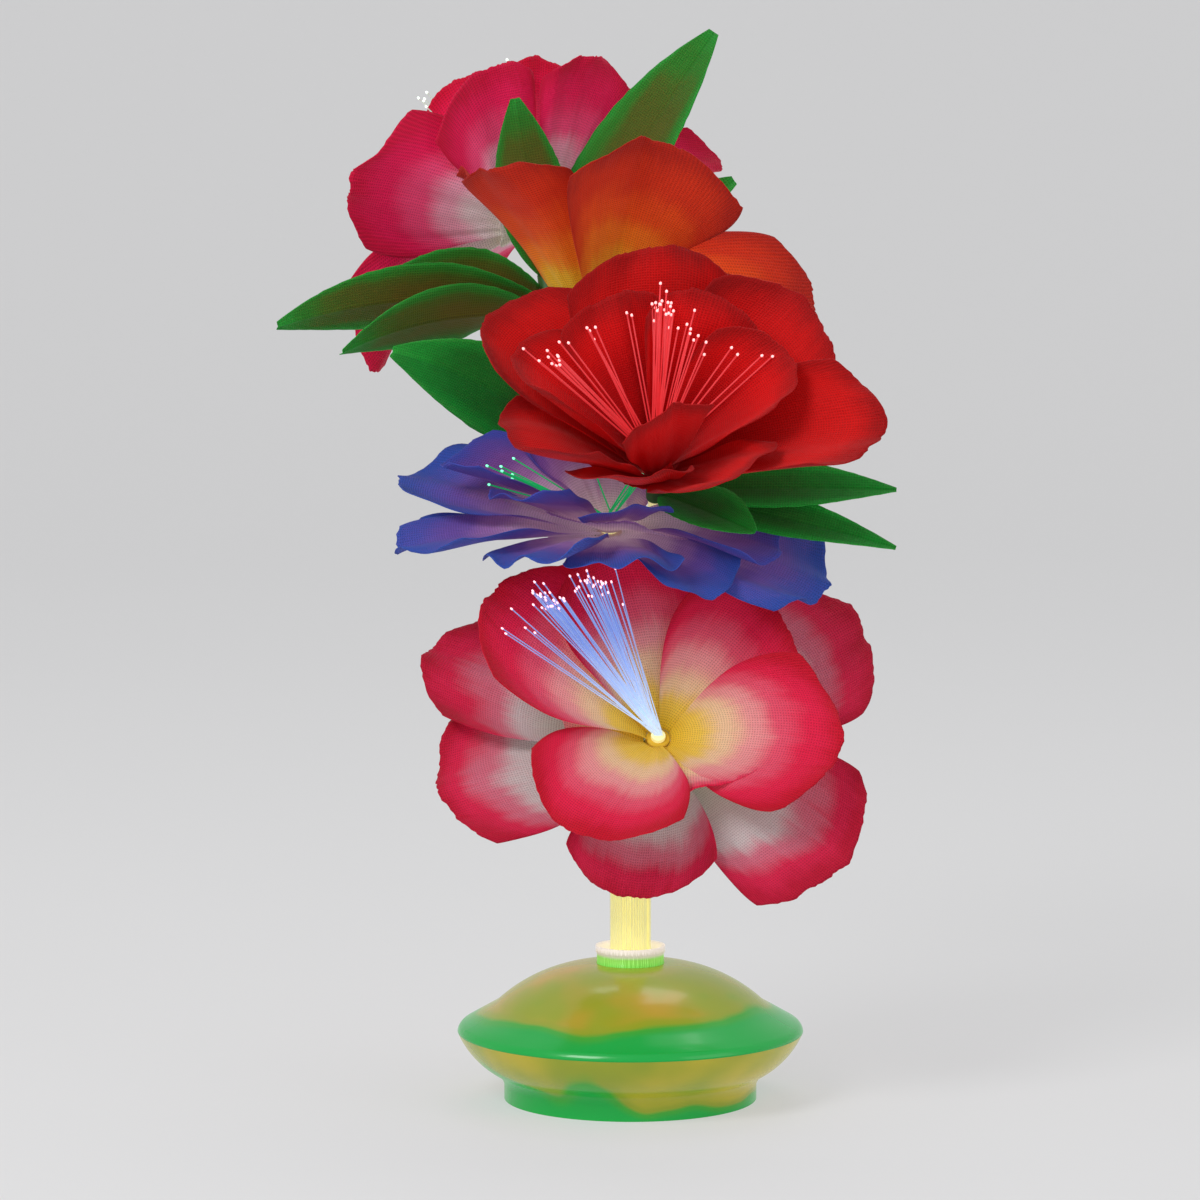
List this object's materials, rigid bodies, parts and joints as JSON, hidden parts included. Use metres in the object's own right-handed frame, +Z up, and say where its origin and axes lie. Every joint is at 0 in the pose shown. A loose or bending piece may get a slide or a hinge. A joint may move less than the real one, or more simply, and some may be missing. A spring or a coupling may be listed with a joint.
{
  "type": "fibre-optic flower lamp",
  "caption": "Table lamp: a saucer-shaped translucent battery base glows and feeds a stem of optical fibres that ends in silk flowers and leaves.",
  "frame": {"origin": "centre of the foot ring, on the plane the lamp stands on", "axes": "+Z up along the base axis and the stem, -Y the side the open flowers face"},
  "size_m": [0.1722, 0.1655, 0.299],
  "materials": {
    "base_lower": "translucent, moulded",
    "base_upper": "translucent, moulded",
    "collar": "frosted clear",
    "ferrule": "moulded",
    "sleeve": "clear film",
    "board": "solder mask",
    "led_red": "clear resin",
    "led_green": "clear resin",
    "led_blue": "clear resin",
    "blob": "cast resin",
    "resistor": "coated",
    "tray": "moulded",
    "cell": "sleeved",
    "contact": "plated",
    "door": "moulded",
    "screw": "plated",
    "switch": "moulded",
    "knob": "moulded",
    "lead_red": "insulated",
    "lead_black": "insulated",
    "fibre": "clear drawn",
    "calyx": "moulded",
    "leaf": "woven silk",
    "silk_lower_pink": "woven silk",
    "silk_purple": "woven silk",
    "silk_red": "woven silk",
    "silk_orange": "woven silk",
    "silk_upper_pink": "woven silk"
  },
  "bodies": {
    "lamp": {"base_screws": "screw", "battery_cell_1": "cell", "battery_cell_2": "cell", "battery_cell_3": "cell", "battery_contacts": "contact", "battery_lead_negative": "lead_black", "battery_lead_positive": "lead_red", "battery_springs": "contact", "battery_tray": "tray", "board_resistors": "resistor", "controller_blob": "blob", "fibre_bundle_lower_pink": "fibre", "fibre_bundle_orange": "fibre", "fibre_bundle_purple": "fibre", "fibre_bundle_red": "fibre", "fibre_bundle_upper_pink": "fibre", "fibre_ferrule": "ferrule", "leaf_spray_low": "leaf", "leaf_spray_mid": "leaf", "leaf_spray_top": "leaf", "led_blue": "led_blue", "led_board": "board", "led_green": "led_green", "led_red": "led_red", "lower_pink_calyx": "calyx", "lower_pink_fibres": "fibre", "lower_pink_inner_petals": "silk_lower_pink", "lower_pink_outer_petals": "silk_lower_pink", "lower_shell": "base_lower", "orange_calyx": "calyx", "orange_fibres": "fibre", "orange_inner_petals": "silk_orange", "orange_outer_petals": "silk_orange", "purple_calyx": "calyx", "purple_fibres": "fibre", "purple_inner_petals": "silk_purple", "purple_outer_petals": "silk_purple", "red_calyx": "calyx", "red_fibres": "fibre", "red_inner_petals": "silk_red", "red_outer_petals": "silk_red", "stem_collar": "collar", "stem_sleeve": "sleeve", "switch_body": "switch", "switch_lead": "lead_red", "upper_pink_calyx": "calyx", "upper_pink_fibres": "fibre", "upper_pink_inner_petals": "silk_upper_pink", "upper_pink_outer_petals": "silk_upper_pink", "upper_shell": "base_upper"},
    "battery_door": {"battery_door": "door", "door_screws": "screw"},
    "switch_knob": {"switch_knob": "knob"}
  },
  "joints": [
    {"name": "battery_door_off", "type": "slide", "parent": "lamp", "child": "battery_door", "axis": [0, 0, -1], "range_m": [0, 0.02]},
    {"name": "switch_slide", "type": "slide", "parent": "lamp", "child": "switch_knob", "axis": [0, 1, 0], "range_m": [0, 0.002]}
  ]
}
